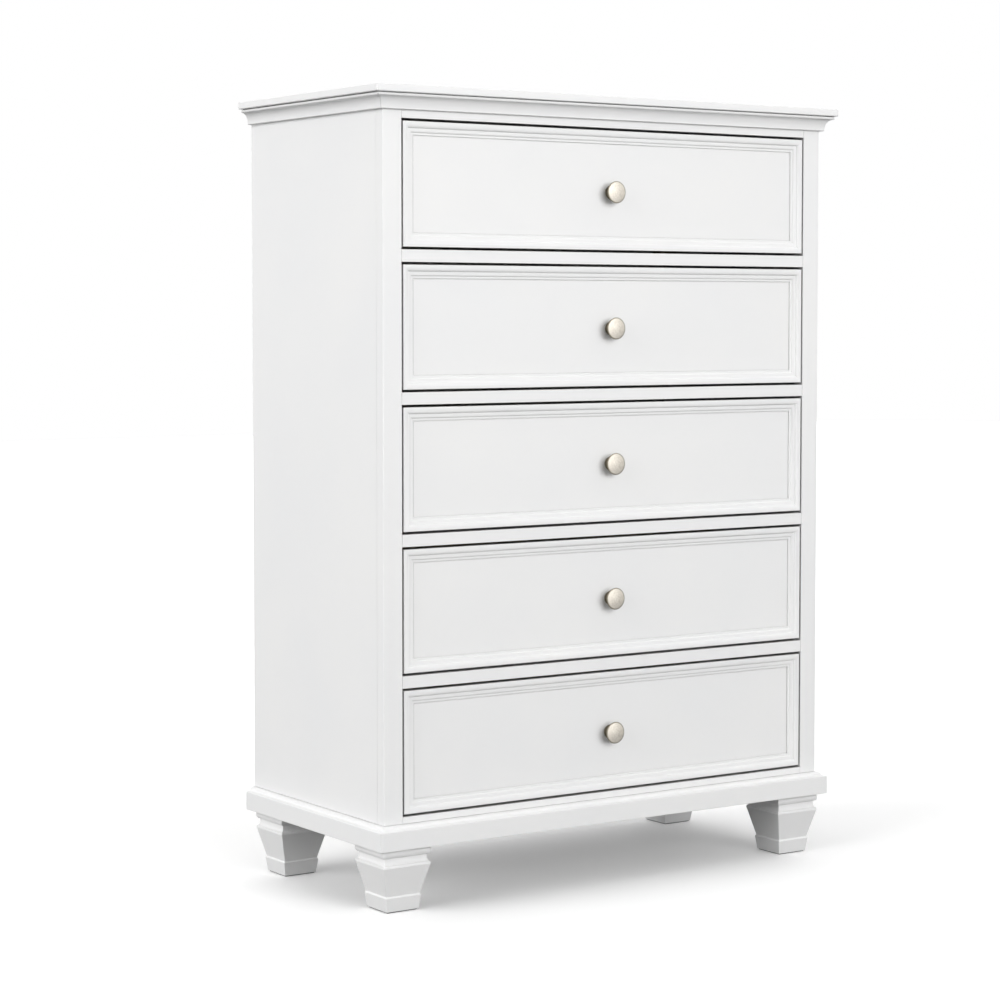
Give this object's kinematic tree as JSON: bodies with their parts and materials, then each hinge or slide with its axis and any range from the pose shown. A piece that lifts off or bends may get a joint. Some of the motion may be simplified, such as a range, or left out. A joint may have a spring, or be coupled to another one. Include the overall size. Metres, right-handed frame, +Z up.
{
  "type": "tall chest of drawers",
  "caption": "Tall white-painted chest of drawers with a cornice, inset drawers with moulded borders and round metal knobs, and a moulded base on tapered square feet.",
  "frame": {"origin": "on the floor under the middle of the chest", "axes": "+Z up, the drawers face -Y and open along -Y, +X to the right of someone who faces the front"},
  "size_m": [0.9144, 0.4382, 1.27],
  "materials": {
    "white_paint": "satin white paint",
    "birch": "clear lacquer",
    "birch_plywood": "clear lacquer",
    "hardboard": "off-white printed face",
    "satin_nickel": "satin nickel plate"
  },
  "bodies": {
    "case": {"top_panel": "white_paint", "cornice_front": "white_paint", "cornice_left": "white_paint", "cornice_right": "white_paint", "side_panel_left": "white_paint", "side_panel_right": "white_paint", "stile_left": "white_paint", "stile_right": "white_paint", "rail_top": "white_paint", "rail_1": "white_paint", "rail_2": "white_paint", "rail_3": "white_paint", "rail_4": "white_paint", "rail_bottom": "white_paint", "back_panel": "hardboard", "base_panel": "white_paint", "foot_front_left": "white_paint", "foot_front_right": "white_paint", "foot_back_left": "white_paint", "foot_back_right": "white_paint", "runner_1_left": "birch", "runner_1_right": "birch", "runner_2_left": "birch", "runner_2_right": "birch", "runner_3_left": "birch", "runner_3_right": "birch", "runner_4_left": "birch", "runner_4_right": "birch", "runner_5_left": "birch", "runner_5_right": "birch"},
    "drawer_1": {"drawer_1_front": "white_paint", "drawer_1_side_left": "birch", "drawer_1_side_right": "birch", "drawer_1_back": "birch", "drawer_1_bottom": "birch_plywood", "drawer_1_knob": "satin_nickel"},
    "drawer_2": {"drawer_2_front": "white_paint", "drawer_2_side_left": "birch", "drawer_2_side_right": "birch", "drawer_2_back": "birch", "drawer_2_bottom": "birch_plywood", "drawer_2_knob": "satin_nickel"},
    "drawer_3": {"drawer_3_front": "white_paint", "drawer_3_side_left": "birch", "drawer_3_side_right": "birch", "drawer_3_back": "birch", "drawer_3_bottom": "birch_plywood", "drawer_3_knob": "satin_nickel"},
    "drawer_4": {"drawer_4_front": "white_paint", "drawer_4_side_left": "birch", "drawer_4_side_right": "birch", "drawer_4_back": "birch", "drawer_4_bottom": "birch_plywood", "drawer_4_knob": "satin_nickel"},
    "drawer_5": {"drawer_5_front": "white_paint", "drawer_5_side_left": "birch", "drawer_5_side_right": "birch", "drawer_5_back": "birch", "drawer_5_bottom": "birch_plywood", "drawer_5_knob": "satin_nickel"}
  },
  "joints": [
    {"name": "drawer_1_slide", "type": "slide", "parent": "case", "child": "drawer_1", "axis": [0, -1, 0], "range_m": [0, 0.28]},
    {"name": "drawer_2_slide", "type": "slide", "parent": "case", "child": "drawer_2", "axis": [0, -1, 0], "range_m": [0, 0.28]},
    {"name": "drawer_3_slide", "type": "slide", "parent": "case", "child": "drawer_3", "axis": [0, -1, 0], "range_m": [0, 0.28]},
    {"name": "drawer_4_slide", "type": "slide", "parent": "case", "child": "drawer_4", "axis": [0, -1, 0], "range_m": [0, 0.28]},
    {"name": "drawer_5_slide", "type": "slide", "parent": "case", "child": "drawer_5", "axis": [0, -1, 0], "range_m": [0, 0.28]}
  ]
}
